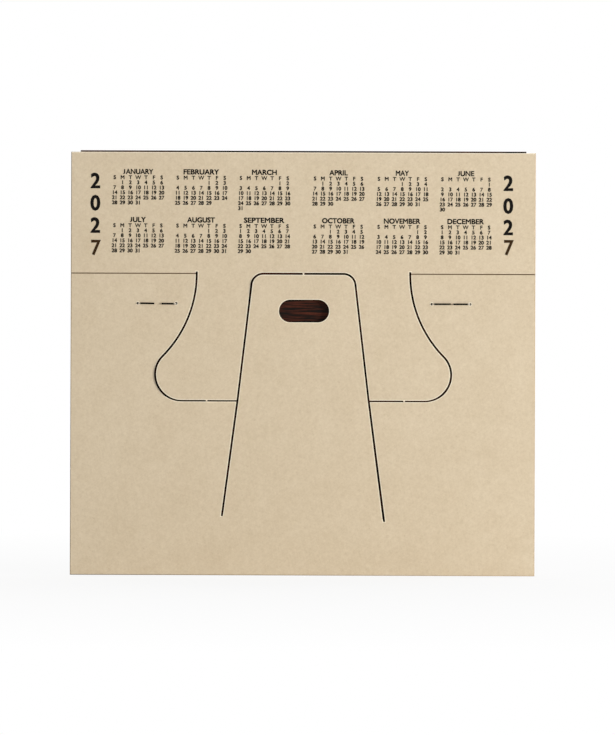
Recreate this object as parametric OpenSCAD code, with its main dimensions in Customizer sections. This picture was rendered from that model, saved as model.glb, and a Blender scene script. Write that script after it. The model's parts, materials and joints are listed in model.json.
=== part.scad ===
// Monthly desk calendar with a die-cut easel back, standing upright with its flaps closed.
// Millimetres. +X is to the right when looking at the back, +Y points to the reader, +Z is up.
// The origin is under the middle of the calendar, level with the bottom edge of its board.

/* [Backing board] */
// Width of the board
board_w = 139.7; // [120:0.1:180]
// Height of the board
board_h = 127.2; // [110:0.1:160]
// Thickness of the board
board_t = 0.8; // [0.5:0.1:1.6]
// Height of the fold line above the bottom edge
fold_z = 90.7; // [80:0.1:100]
// Width of the half-cut groove along the fold, on the back face
fold_groove_w = 0.3; // [0.1:0.02:0.4]
// Width of a die-cut line
cut_w = 0.6; // [0.24:0.02:0.6]
// Air between two edges that meet at a fold
hinge_gap = 0.03; // [0.02:0.01:0.06]
// Sideways offset of the wings and the leg from the middle of the board
die_x = 0.1; // [-1:0.1:1]

/* [Wing feet] */
// Width across both wings where they leave the header
wing_root_w = 63.6; // [56:0.1:72]
// Width across the lobes at their widest
wing_span = 88.4; // [80:0.1:100]
// Depth from the fold to the lower edge of the wings
wing_drop = 38; // [34:0.1:44]
// Depth from the fold to the level where the lobes are widest
lobe_drop = 30.3; // [26:0.1:33]
// Radius of the lobe above its widest level
lobe_top_r = 7.4; // [6:0.1:12]
// Straight run of the wing cut below the fold, before it flares
wing_neck = 0.1; // [0:0.1:4]
// How far the wing cut runs up past the fold
wing_slit_up = 0.6; // [0.4:0.1:3]

/* [Easel leg] */
// Height of the leg's hinge above the bottom edge
leg_hinge_z = 17.8; // [10:0.1:26]
// Width of the leg at its top edge
leg_top_w = 29.9; // [24:0.1:36]
// Width of the leg level with the lower edge of the wings
leg_mid_w = 38.8; // [34:0.1:44]
// Width of the leg at its hinge
leg_foot_w = 48; // [42:0.1:56]
// Corner radius at the leg's free end
leg_corner_r = 3.3; // [1:0.1:6]
// How far the right-hand slit runs down past the hinge
leg_slit_down = 1.6; // [0.4:0.1:4]

/* [Finger hole] */
// Length of the oval hole
hole_w = 15.1; // [10:0.1:20]
// Height of the oval hole
hole_h = 6.8; // [5:0.1:9]
// Depth from the fold to the middle of the hole
hole_drop = 11.2; // [8:0.1:20]
// Sideways offset of the hole from the middle
hole_x = 0.3; // [-2:0.1:2]

/* [Nicks] */
// Width of each nick, the small bridge that held a flap closed
nick_w = 0.5; // [0.4:0.1:2]
// Air left where a nick has broken
nick_gap = 0.06; // [0.04:0.01:0.12]
// Distance of the left wing's nick from the middle
left_nick_x = 28.9; // [24:0.1:36]
// Distance of the right wing's nick from the middle
right_nick_x = 30.5; // [24:0.1:36]

/* [Front card] */
// Width of the front card
card_w = 134.1; // [110:0.1:170]
// Thickness of the front card
card_t = 0.3; // [0.2:0.05:0.6]
// How far the card stands above the board's top edge
card_proud = 0.5; // [0.2:0.1:3]
// How far the card stops short of the board's bottom edge
card_lift = 0.6; // [0.2:0.1:6]

/* [Date pad] */
// Width of a month sheet
sheet_w = 127; // [100:0.1:130]
// Thickness of a month sheet
sheet_t = 0.12; // [0.08:0.01:0.2]
// Air between two sheets
sheet_gap = 0.03; // [0.02:0.01:0.08]
// Height of the pad's top edge above the staples
pad_head = 4.8; // [2:0.1:7]
// Height of the pad's lower edge above the board's bottom edge
pad_foot = 4; // [1:0.1:12]
// Depth from the staples to the rearmost sheet's bend line
bend_drop = 5.5; // [4:0.1:12]
// How much higher each sheet bends than the one behind it
bend_step = 0.25; // [0.2:0.05:0.3]

/* [Staples] */
// Outside width of a staple
crown_w = 12; // [11.8:0.1:14]
// Diameter of the staple wire
wire_d = 0.5; // [0.4:0.05:0.7]
// Radius of the wire's bends, along its middle
wire_bend_r = 0.36; // [0.36:0.02:0.5]
// Length of the left staple's clinched legs, from its outer side
left_clinch_l = 4.9; // [3:0.1:5.6]
// Length of the right staple's clinched legs, from its outer side
right_clinch_l = 5.6; // [3:0.1:5.6]
// How much longer each staple's left leg is, and its right leg shorter
clinch_skew = 0.3; // [-0.3:0.1:0.3]
// Distance of each staple from the middle of the two
staple_x = 44.2; // [42:0.1:54]
// Sideways offset of the two staples from the middle of the board
staple_mid_x = 0.3; // [-1:0.1:1]
// Depth from the fold to the staples
staple_drop = 9; // [7:0.1:14]
// Air round a staple leg in its hole
staple_hole_gap = 0.13; // [0.13:0.01:0.3]
// Air between a staple and the face it lies on
staple_seat_gap = 0.02; // [0.02:0.01:0.1]

/* [Hidden] */
months = 12;
arc_steps = 20;
wire_fn = 48;
through = 1; // how far a cutting tool runs past the faces that it cuts

// Layers from the back to the front
sheet_pitch = sheet_t + sheet_gap;
pad_t = months * sheet_pitch;
wire_r = wire_d / 2;
depth = 2 * (wire_d + staple_seat_gap) + board_t + card_t + pad_t;
board_back_y = wire_d + staple_seat_gap - depth / 2;
board_front_y = board_back_y + board_t;
card_front_y = board_front_y + card_t;
pad_front_y = card_front_y + pad_t;
function sheet_front_y(month) = card_front_y + (months + 1 - month) * sheet_pitch;

// Heights of the features that hang from the fold
wing_z = fold_z - wing_drop;
lobe_z = fold_z - lobe_drop;
hole_z = fold_z - hole_drop;
staple_z = fold_z - staple_drop;
pad_top_z = staple_z + pad_head;
function bend_z(month) = staple_z - bend_drop + (months - month) * bend_step;

// The wing's flare is the arc that leaves the neck straight down and meets the lobe smoothly
neck_z = fold_z - wing_neck;
lobe_top_x = wing_span / 2 - lobe_top_r;
root_past_lobe = wing_root_w / 2 - lobe_top_x;
flare_r = (pow(root_past_lobe, 2) + pow(neck_z - lobe_z, 2) - pow(lobe_top_r, 2))
    / (2 * (lobe_top_r - root_past_lobe));
flare_x = wing_root_w / 2 + flare_r;
flare_turn = atan2(neck_z - lobe_z, flare_x - lobe_top_x);
lobe_foot_r = lobe_z - wing_z;
lobe_foot_x = wing_span / 2 - lobe_foot_r;

// The leg's sides, from the slopes of their upper and lower stretches
leg_upper_slope = (leg_mid_w - leg_top_w) / 2 / wing_drop;
leg_lower_slope = (leg_foot_w - leg_mid_w) / 2 / (wing_z - leg_hinge_z);
leg_lean = atan(leg_upper_slope);
leg_top_z = fold_z - cut_w / 2;
leg_corner_z = leg_top_z - leg_corner_r;
leg_corner_x = leg_top_w / 2 + (fold_z - leg_corner_z) * leg_upper_slope - leg_corner_r / cos(leg_lean);

// The staple's legs and its two straight lines of wire
staple_leg_x = crown_w / 2 - wire_r;
crown_y = pad_front_y + staple_seat_gap + wire_r;
clinch_y = board_back_y - staple_seat_gap - wire_r;

function leaf_name(month) = str("month_leaf_", month < 10 ? "0" : "", month);

board_colour = [0.83, 0.76, 0.65];
card_colour = [0.24, 0.15, 0.13];
paper_colour = [0.95, 0.94, 0.91];
wire_colour = [0.62, 0.62, 0.64];

function arc(x, z, r, from, to) = [
    for (i = [0 : arc_steps]) let (a = from + (to - from) * i / arc_steps) [x + r * cos(a), z + r * sin(a)]
];

function mirrored(points) = [for (i = [len(points) - 1 : -1 : 0]) [-points[i][0], points[i][1]]];

// Half of a die line drawn top to bottom on the right becomes the whole
module both_halves(points) {
    translate([die_x, 0]) polygon(concat(points, mirrored(points)));
}

// A flat sheet drawn in x and z, with its front face at front_y
module layer(front_y, thickness) {
    translate([0, front_y, 0]) rotate([90, 0, 0]) linear_extrude(thickness) children();
}

module board_piece() {
    layer(board_front_y, board_t) children();
}

module board_cut() {
    layer(board_front_y + through, board_t + 2 * through) children();
}

module box_between(x0, x1, z0, z1) {
    translate([x0, z0]) square([x1 - x0, z1 - z0]);
}

// Outer edge of the right wing, grown outwards by a margin
function wing_edge(margin) = concat(
    arc(flare_x, neck_z, flare_r - margin, 180, 180 + flare_turn),
    arc(lobe_top_x, lobe_z, lobe_top_r + margin, flare_turn, 0),
    arc(lobe_foot_x, lobe_z, lobe_foot_r + margin, 0, -90)
);

module wings_outline(margin, top_z) {
    both_halves(concat([[wing_root_w / 2 + margin, top_z]], wing_edge(margin)));
}

module leg_outline(margin, foot_z) {
    both_halves(concat(
        mirrored(arc(-leg_corner_x, leg_corner_z, leg_corner_r + margin, 180 - leg_lean, 90)),
        [[leg_mid_w / 2 + margin, wing_z], [leg_foot_w / 2 + margin, foot_z]]
    ));
}

// The right-hand slit that runs on below the hinge, in line with the leg's side
module leg_slit_outline() {
    slit_x = die_x + leg_foot_w / 2;
    slit_end_x = slit_x + leg_slit_down * leg_lower_slope;
    slit_end_z = leg_hinge_z - leg_slit_down;
    polygon([
        [slit_x, leg_hinge_z], [slit_x + cut_w, leg_hinge_z],
        [slit_end_x + cut_w, slit_end_z], [slit_end_x, slit_end_z]
    ]);
}

module finger_hole_outline() {
    end_r = hole_h / 2;
    end_x = hole_w / 2 - end_r;
    polygon(concat(
        arc(hole_x + end_x, hole_z, end_r, -90, 90),
        arc(hole_x - end_x, hole_z, end_r, 90, 270)
    ));
}

// The half-cut along the fold, a groove with its point on the board's front face
module fold_groove() {
    rotate([90, 0, 90])
        linear_extrude(board_w + 2 * through, center = true)
            polygon([
                [board_back_y, fold_z - fold_groove_w / 2], [board_front_y, fold_z],
                [board_back_y, fold_z + fold_groove_w / 2]
            ]);
}

// The four holes that the staple legs make in whatever they pass
module staple_holes() {
    for (side = [-1, 1], leg = [-1, 1])
        translate([staple_mid_x + side * staple_x + leg * staple_leg_x, 0, staple_z])
            rotate([90, 0, 0])
                cylinder(h = depth + 2 * through, r = wire_r + staple_hole_gap, center = true, $fn = wire_fn);
}

module back_panel() {
    color(board_colour)
        difference() {
            board_piece() box_between(-board_w / 2, board_w / 2, 0, fold_z - hinge_gap / 2);
            board_cut() wings_outline(cut_w, fold_z + wing_slit_up);
            board_cut() leg_outline(cut_w, leg_hinge_z - hinge_gap / 2);
            board_cut() leg_slit_outline();
            fold_groove();
            staple_holes();
        }
}

// The wings stay joined to the strip above the fold, so it is one piece with them
module header_panel() {
    color(board_colour)
        difference() {
            union() {
                board_piece() box_between(-board_w / 2, board_w / 2, fold_z + hinge_gap / 2, board_h);
                board_piece() wings_outline(0, fold_z + wing_slit_up);
                for (side = [-1, 1]) board_piece() wing_nick(side);
            }
            board_cut() leg_outline(cut_w, wing_z - cut_w);
            for (side = [-1, 1]) {
                board_cut() wing_slit(side);
                fold_groove_beside_wings(side);
            }
        }
}

module wing_nick(side) {
    translate([side < 0 ? -left_nick_x : right_nick_x, 0])
        box_between(-nick_w / 2, nick_w / 2, wing_z - cut_w + nick_gap, wing_z + cut_w);
}

// The top of the wing's cut, above the fold
module wing_slit(side) {
    root_x = wing_root_w / 2;
    translate([die_x, 0])
        scale([side, 1]) box_between(root_x, root_x + cut_w, fold_z - cut_w, fold_z + wing_slit_up);
}

module fold_groove_beside_wings(side) {
    groove_l = board_w / 2;
    intersection() {
        fold_groove();
        translate([die_x + side * (wing_root_w / 2 + groove_l / 2), 0, fold_z])
            cube([groove_l, depth, 2 * fold_groove_w], center = true);
    }
}

module easel_leg() {
    color(board_colour)
        difference() {
            union() {
                board_piece() leg_outline(0, leg_hinge_z + hinge_gap / 2);
                board_piece()
                    translate([die_x, 0])
                        box_between(-nick_w / 2, nick_w / 2, leg_top_z - cut_w, leg_top_z + cut_w - nick_gap);
            }
            board_cut() finger_hole_outline();
        }
}

module front_card_top() {
    color(card_colour)
        layer(card_front_y, card_t)
            box_between(-card_w / 2, card_w / 2, fold_z + hinge_gap / 2, board_h + card_proud);
}

module front_card_field() {
    color(card_colour)
        difference() {
            layer(card_front_y, card_t)
                box_between(-card_w / 2, card_w / 2, card_lift, fold_z - hinge_gap / 2);
            staple_holes();
        }
}

module sheet_stubs() {
    color(paper_colour)
        for (month = [1 : months])
            difference() {
                layer(sheet_front_y(month), sheet_t)
                    box_between(-sheet_w / 2, sheet_w / 2, bend_z(month) + hinge_gap / 2, pad_top_z);
                staple_holes();
            }
}

module month_leaf(month) {
    color(paper_colour)
        layer(sheet_front_y(month), sheet_t)
            box_between(-sheet_w / 2, sheet_w / 2, pad_foot, bend_z(month) - hinge_gap / 2);
}

// Straight wire along x between two places
module wire_run(x0, x1, y) {
    translate([x0, y, 0]) rotate([0, 90, 0]) cylinder(h = x1 - x0, r = wire_r, $fn = wire_fn);
}

module wire_bend(x, y, turn) {
    translate([x, y, 0])
        rotate([0, 0, turn])
            rotate_extrude(angle = 90, $fn = wire_fn) translate([wire_bend_r, 0]) circle(r = wire_r, $fn = wire_fn);
}

module staple(side) {
    clinch_l = side < 0 ? left_clinch_l : right_clinch_l;
    bend_x = staple_leg_x - wire_bend_r;
    leg_l = crown_y - clinch_y - 2 * wire_bend_r;
    color(wire_colour)
        translate([staple_mid_x + side * staple_x, 0, staple_z]) {
            wire_run(-bend_x, bend_x, crown_y);
            for (leg = [0, 1])
                mirror([leg, 0, 0]) {
                    wire_bend(bend_x, crown_y - wire_bend_r, 0);
                    translate([staple_leg_x, clinch_y + wire_bend_r, 0])
                        rotate([-90, 0, 0]) cylinder(h = leg_l, r = wire_r, $fn = wire_fn);
                    wire_bend(bend_x, clinch_y + wire_bend_r, -90);
                    wire_run(crown_w / 2 - clinch_l + (leg == 0 ? clinch_skew : -clinch_skew), bend_x, clinch_y);
                }
        }
}

back_panel();
header_panel();
easel_leg();
front_card_top();
front_card_field();
sheet_stubs();
staple(-1);  // staple_left
staple(1);  // staple_right
for (month = [1 : months])
    month_leaf(month);
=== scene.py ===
"""The looks of a monthly desk calendar with a die-cut easel back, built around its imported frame.

The chipboard back, the dark front card, the twelve month sheets, the staples and the printing are made
here as meshes with procedural finishes. Lengths are in metres, and mm() turns millimetres into them.
"""

import json
import math

import bmesh
import bpy
from bpy.props import FloatProperty, FloatVectorProperty, PointerProperty
from mathutils import Matrix, Vector

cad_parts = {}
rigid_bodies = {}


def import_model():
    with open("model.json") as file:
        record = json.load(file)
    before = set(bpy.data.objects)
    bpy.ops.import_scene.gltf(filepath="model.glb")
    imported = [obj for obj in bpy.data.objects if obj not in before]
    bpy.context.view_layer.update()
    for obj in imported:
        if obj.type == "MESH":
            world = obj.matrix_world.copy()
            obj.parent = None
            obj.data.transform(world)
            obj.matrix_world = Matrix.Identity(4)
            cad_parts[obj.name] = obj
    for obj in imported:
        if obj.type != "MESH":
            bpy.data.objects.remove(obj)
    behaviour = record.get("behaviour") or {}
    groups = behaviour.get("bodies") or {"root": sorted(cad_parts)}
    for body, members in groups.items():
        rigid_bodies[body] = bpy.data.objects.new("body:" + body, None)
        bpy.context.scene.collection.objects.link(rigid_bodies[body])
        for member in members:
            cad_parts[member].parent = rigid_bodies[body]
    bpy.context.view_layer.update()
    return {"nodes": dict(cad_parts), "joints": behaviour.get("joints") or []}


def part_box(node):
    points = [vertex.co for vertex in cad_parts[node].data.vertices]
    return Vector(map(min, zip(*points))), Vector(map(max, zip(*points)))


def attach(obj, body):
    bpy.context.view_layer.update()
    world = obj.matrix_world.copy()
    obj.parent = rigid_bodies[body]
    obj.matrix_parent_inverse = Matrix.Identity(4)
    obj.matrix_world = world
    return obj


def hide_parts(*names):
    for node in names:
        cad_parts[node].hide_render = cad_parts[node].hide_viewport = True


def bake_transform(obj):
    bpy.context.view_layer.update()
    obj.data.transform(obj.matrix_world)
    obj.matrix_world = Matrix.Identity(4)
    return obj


bl_info = {
    "name": "Easel desk calendar",
    "version": (1, 0, 0),
    "blender": (4, 5, 0),
    "location": "3D View > Sidebar > Calendar",
    "description": "Makes the pieces and finishes of a monthly desk calendar around its frame",
    "category": "Add Mesh",
}

for start_up in list(bpy.data.objects):
    bpy.data.objects.remove(start_up)
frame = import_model()
BOARD_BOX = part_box("back_panel")
LEG_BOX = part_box("easel_leg")

MONTHS = ("JANUARY", "FEBRUARY", "MARCH", "APRIL", "MAY", "JUNE", "JULY", "AUGUST", "SEPTEMBER",
          "OCTOBER", "NOVEMBER", "DECEMBER")
MONTH_DAYS = (31, 29, 31, 30, 31, 30, 31, 31, 30, 31, 30, 31)
WEEKDAYS = "SMTWTFS"
FIRST_WEEKDAY = 1
YEAR = "2027"
WEEK_ROWS = 6

# The height of the font's capitals, and the room between two letters, in letter sizes.
CAPITAL = 0.682
LETTER_GAP = 0.07

# How printing made in the XY plane is turned on to the back and the front.
BACK_PRINT = Matrix(((1, 0, 0), (0, 0, -1), (0, 1, 0))).to_4x4()
FRONT_PRINT = Matrix(((-1, 0, 0), (0, 0, 1), (0, 1, 0))).to_4x4()

ACROSS = Vector((1, 0, 0))
UP = Vector((0, 0, 1))
WHITE = (1, 1, 1, 1)


def mm(value):
    """A length in millimetres, in Blender's metres."""
    return value * 0.001


# A point this near is in the same place or lies near a line, and layers this far apart don't touch.
SAME = mm(0.01)
NEAR = mm(0.05)
GAP = mm(0.002)

# Half the width of the header's scored fold, and the angle past which an edge of the board is a cut.
FOLD_HALF = mm(0.2)
CUT_ANGLE = math.radians(60)

# How far a face's normal goes along Y where it lies flat, and the least where it isn't slanted.
FLAT = 0.99
SLANTED = 0.95

# Degrees past which an edge stays sharp, on sheets and boards and on wire.
SHEET_SHARP = 35
WIRE_SHARP = 50


def paint(red, green, blue):
    """A screen colour of 0 to 255, as the linear values that Blender's colours hold."""
    shares = [value / 255 for value in (red, green, blue)]
    return tuple(s / 12.92 if s <= 0.04045 else ((s + 0.055) / 1.055) ** 2.4 for s in shares)


def joint_place(name):
    """The point that a joint turns about, at rest."""
    for joint in frame["joints"]:
        if joint["name"] == name:
            return Vector(joint["pos_m"])
    raise RuntimeError(f"the frame has no joint named {name}")


def steps(start, end, step):
    """Even steps from start to end, both ends among them."""
    count = max(1, round(abs(end - start) / step))
    return [start + (end - start) * number / count for number in range(count + 1)]


def quantity(name, description, value, **unit):
    """A number that a user can change."""
    return FloatProperty(name=name, description=description, default=value, **unit)


def length(name, description, millimetres):
    """A size that a user can change."""
    return quantity(name, description, mm(millimetres), precision=5, subtype="DISTANCE", unit="LENGTH")


def angle(name, description, degrees):
    """A turn that a user can change."""
    return quantity(name, description, math.radians(degrees), subtype="ANGLE", unit="ROTATION")


def colour(name, description, red, green, blue):
    """A colour that a user can change."""
    return FloatVectorProperty(name=name, description=description, default=paint(red, green, blue),
                               size=3, min=0, max=1, subtype="COLOR")


class BoardSettings(bpy.types.PropertyGroup):
    """The chipboard back: lower panel, header with its two wings, and easel leg."""

    edge_round: length("Edge round", "Rounding of the die-cut edges", 0.05)
    # The pale band along the cuts is partly raised torn fibres, partly a painted highlight on both sides
    # of each cut.
    burr: length("Burr", "Width of the raised pale fibres along the die-cut edges", 0.22)
    rim_round: length("Rim round", "Rounding of the board's outer edges", 0.2)
    left_lift: length("Left wing lift", "How far the left wing's foot stands off", 0.5)
    right_lift: length("Right wing lift", "How far the right wing's foot stands off", 0.1)
    leg_lift: length("Leg lift", "How far the leg's top stands off", 0.5)
    foot_close: length("Foot close", "How much narrower the cut is under the wings", 0.17)
    hinge_reach: length("Hinge reach", "How far the leg's bend reaches from its fold line", 0.5)
    row_step: length("Row step", "Height of the rows in which wings and leg bend", 3)
    skin: length("Fold skin", "Thickness of the fibres left at the bottom of the fold", 0.1)
    tone: colour("Board", "Chipboard's own colour", 224, 208, 181)
    shade: colour("Fibre", "Colour of the darker fibres", 184, 161, 126)
    fleck: colour("Fleck", "Colour of the sparse dark flecks", 150, 122, 86)
    # Colour of that band: the torn fibres' paleness with a painted highlight.
    core: colour("Torn fibres", "Colour of the fibres raised along cuts", 251, 241, 219)
    # Painted shade: the cut walls are toned darker than the board, to deepen the cut lines.
    wall: colour("Cut wall", "Colour of the board's inside at cuts", 200, 183, 153)
    # Partly the darker pressed fibres of the score, partly painted shade in the fold's groove.
    score: colour("Score", "Colour of the pressed fibres in the fold's half-cut", 138, 112, 76)


class CardSettings(bpy.types.PropertyGroup):
    """The dark card on the front, in one piece over the board's fold."""

    edge_round: length("Edge round", "Rounding of the card's edges", 0.06)
    fold_reach: length("Fold reach", "How far the card's bend reaches from its fold line", 0.5)
    tone: colour("Card", "Card's own colour", 16, 9, 5)
    streak: colour("Streak", "Colour of the card's lighter streaks", 100, 47, 30)
    border: colour("Border", "Colour of the border on the header", 176, 146, 100)
    border_inset: length("Border inset", "Distance of the border from the header's edges", 4)
    border_width: length("Border width", "Width of the border's thick line", 0.55)
    border_round: length("Border round", "Radius of the border's corners", 1.6)
    border_depth: length("Border depth", "Thickness of the border's ink", 0.02)


class PadSettings(bpy.types.PropertyGroup):
    """The twelve month sheets under the staples."""

    paper: colour("Paper", "Colour of the month sheets", 243, 240, 230)
    curl: length("Curl", "How far the front sheet's lower corners stand forward", 0.5)
    bend_reach: length("Bend reach", "How far a sheet's bend reaches from its bend line", 0.6)
    stray: length("Stray", "How far a sheet may lie out of line in the stack", 0.14)


class PageSettings(bpy.types.PropertyGroup):
    """The printing on the month sheets."""

    ink: colour("Ink", "Colour of titles and numbers", 44, 38, 34)
    sunday: colour("Sunday ink", "Colour of the first column", 150, 48, 36)
    rule: colour("Rule", "Colour of the ruled lines", 150, 138, 122)
    title_size: length("Title size", "Letter size of the month's name", 7.2)
    title_bold: length("Title bold", "How much its strokes are thickened", 0.144)
    number_size: length("Number size", "Letter size of the day numbers", 5.6)
    number_bold: length("Number bold", "How much their strokes are thickened", 0.0672)
    narrow: quantity("Narrowing", "Width of the numbers against their height", 0.92)
    column_step: length("Column step", "Width of a day's box", 17)
    row_step: length("Row step", "Height of a day's box", 8.1)
    grid_top: length("Grid top", "Height of the ruled grid's top line", 63.5)
    title_base: length("Title base", "Height of the title's foot", 67.3)
    rule_width: length("Rule width", "Width of a ruled line", 0.22)
    depth: length("Ink depth", "Thickness of the ink", 0.015)


class TableSettings(bpy.types.PropertyGroup):
    """The year table on the back of the header."""

    ink: colour("Ink", "Colour of the printing", 6, 4, 3)
    worn: colour("Worn ink", "Colour of the ink where it is thin", 32, 24, 17)
    faded: colour("Faded ink", "Colour of the year's last number", 58, 40, 20)
    title_size: length("Title size", "Letter size of a month's name", 2.1)
    title_bold: length("Title bold", "How much its strokes are thickened", 0.1)
    number_size: length("Number size", "Letter size of the day numbers", 1.55)
    number_bold: length("Number bold", "How much their strokes are thickened", 0.085)
    narrow: quantity("Narrowing", "Width of the numbers against their height", 1.04)
    column_step: length("Column step", "Distance between day columns", 2.35)
    row_step: length("Row step", "Distance between week rows", 1.515)
    initials_drop: length("Initials drop", "From a name's middle to the weekday letters' middle", 1.75)
    year_size: length("Year size", "Letter size of the stacked year", 6.3)
    year_bold: length("Year bold", "How much its strokes are thickened", 0.22)
    year_narrow: quantity("Year narrowing", "Width of its numbers against their height", 0.94)
    tilt: angle("Tilt", "How far the printing turns from the board's edges", 0.17)
    depth: length("Ink depth", "Thickness of the ink", 0.02)


class StapleSettings(bpy.types.PropertyGroup):
    """The two wire staples."""

    bend: length("Bend radius", "Radius of the wire's bends, at its middle", 0.55)
    left_clinch: length("Left clinch", "Length of the left staple's folded legs", 4.9)
    right_clinch: length("Right clinch", "Length of the right staple's folded legs", 5.6)
    skew: length("Clinch skew", "How much longer each staple's left leg is, and its right shorter", 0.3)
    left_tilt: length("Left tilt", "How much lower the left staple is at its right end", 0.14)
    tone: colour("Wire", "Colour of the staple wire", 32, 28, 25)
    edge: colour("Wire edge", "Tint of the wire's slanting reflections", 165, 156, 147)
    # Painted glint: a pale colour painted on the outside of the wire's bends, in place of the light they
    # reflect.
    rubbed: colour("Rubbed wire", "Colour of the wire where its bends are rubbed bright", 224, 215, 198)


class StageSettings(bpy.types.PropertyGroup):
    """Camera, lamps, floor and background."""

    distance: length("Camera distance", "From the camera to the board", 1100)
    pixel: length("Pixel", "Size of a picture point on the board", 0.30067)
    centre_x: length("Picture middle X", "Where the picture's middle is, across", 1.408)
    centre_z: length("Picture middle Z", "Where the picture's middle is, upwards", 62.54)
    roll: angle("Roll", "Turn of the camera about its line of sight", -0.2)
    key: quantity("Key", "Power of the main lamp", 30.4, unit="POWER")
    front: quantity("Front", "Power of the lamp on the pad's side", 6.5, unit="POWER")
    edge: quantity("Edge", "Power of the lamp on the pad's edge", 7, unit="POWER")
    sky: quantity("Sky", "Strength of the light from all round", 0.317)
    floor: colour("Floor", "Colour of the floor", 240, 240, 240)


class CalendarSettings(bpy.types.PropertyGroup):
    """All the sizes and colours of the calendar."""

    board: PointerProperty(type=BoardSettings)
    card: PointerProperty(type=CardSettings)
    pad: PointerProperty(type=PadSettings)
    page: PointerProperty(type=PageSettings)
    table: PointerProperty(type=TableSettings)
    staple: PointerProperty(type=StapleSettings)
    stage: PointerProperty(type=StageSettings)


class Value:
    """A node's output in a Python expression: each operator adds a Math node."""

    def __init__(self, tree, socket):
        self.tree = tree
        self.socket = socket

    def __getitem__(self, name):
        """Another output of the same node."""
        return Value(self.tree, self.socket.node.outputs[name])

    def math(self, operation, first, second):
        """A Math node on two numbers or outputs."""
        return self.tree.node("ShaderNodeMath", {"operation": operation}, {0: first, 1: second})

    def __add__(self, other):
        return self.math("ADD", self, other)

    __radd__ = __add__

    def __sub__(self, other):
        return self.math("SUBTRACT", self, other)

    def __rsub__(self, other):
        return self.math("SUBTRACT", other, self)

    def __mul__(self, other):
        return self.math("MULTIPLY", self, other)

    __rmul__ = __mul__

    def __truediv__(self, other):
        return self.math("DIVIDE", self, other)

    def __rtruediv__(self, other):
        return self.math("DIVIDE", other, self)

    def __lt__(self, other):
        return self.math("LESS_THAN", self, other)

    def __gt__(self, other):
        return self.math("GREATER_THAN", self, other)


class Tree:
    """A node tree under construction, one call for each node."""

    def __init__(self, group):
        self.group = group

    def node(self, kind, settings=None, sockets=None, out=0):
        """Adds a node, sets it up, and gives one of its outputs."""
        made = self.group.nodes.new(kind)
        for key, value in (settings or {}).items():
            if key == "stops":
                self.stops(made.color_ramp, value)
            else:
                setattr(made, key, value)
        for key, value in (sockets or {}).items():
            for part in value if isinstance(value, list) else [value]:
                if isinstance(part, Value):
                    self.group.links.new(part.socket, made.inputs[key])
                else:
                    made.inputs[key].default_value = part
        return Value(self, made.outputs[out]) if len(made.outputs) else None

    @staticmethod
    def stops(ramp, stops):
        """Sets a ramp's stops, each a position and a grey level."""
        while len(ramp.elements) < len(stops):
            ramp.elements.new(1)
        for element, (position, level) in zip(ramp.elements, stops):
            element.position = position
            element.color = (level, level, level, 1)

    def noise(self, scale, detail=3, rough=0.5, turn=0):
        """Noise with that many waves to the millimetre along X, Y and Z, turned about Y."""
        point = self.node("ShaderNodeTexCoord", out="Object")
        place = self.node("ShaderNodeMapping", {"vector_type": "TEXTURE"},
                          {"Vector": point, "Scale": tuple(mm(1) / value for value in scale),
                           "Rotation": (0, turn, 0)})
        return self.node("ShaderNodeTexNoise", {},
                         {"Vector": place, "Scale": 1, "Detail": detail, "Roughness": rough})

    def mark(self, name):
        """A mesh's own mark, from 0 to 1."""
        return self.node("ShaderNodeAttribute", {"attribute_name": name}, out="Fac")

    def ramp(self, value, stops):
        """Value through a grey ramp."""
        return self.node("ShaderNodeValToRGB", {"stops": stops}, {"Fac": value})

    def mix(self, factor, first, second):
        """A mix of two colours."""
        return self.node("ShaderNodeMix", {"data_type": "RGBA"},
                         {0: factor, 6: solid(first), 7: solid(second)}, out=2)

    def bump(self, height, distance, strength):
        """A normal from a height, with its depth in metres."""
        return self.node("ShaderNodeBump", {},
                         {"Height": height, "Distance": distance, "Strength": strength})

    def surface(self, sockets):
        """The one shader of a finish, with its output."""
        shader = self.node("ShaderNodeBsdfPrincipled", {}, sockets)
        self.node("ShaderNodeOutputMaterial", {}, {"Surface": shader})


def solid(tone):
    """A colour with its alpha, or an output as it is."""
    return tone if isinstance(tone, Value) else (*tone, 1)


def darker(tone, level):
    """A colour brought down to that share of its light."""
    return tuple(value * level for value in tone)


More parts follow.
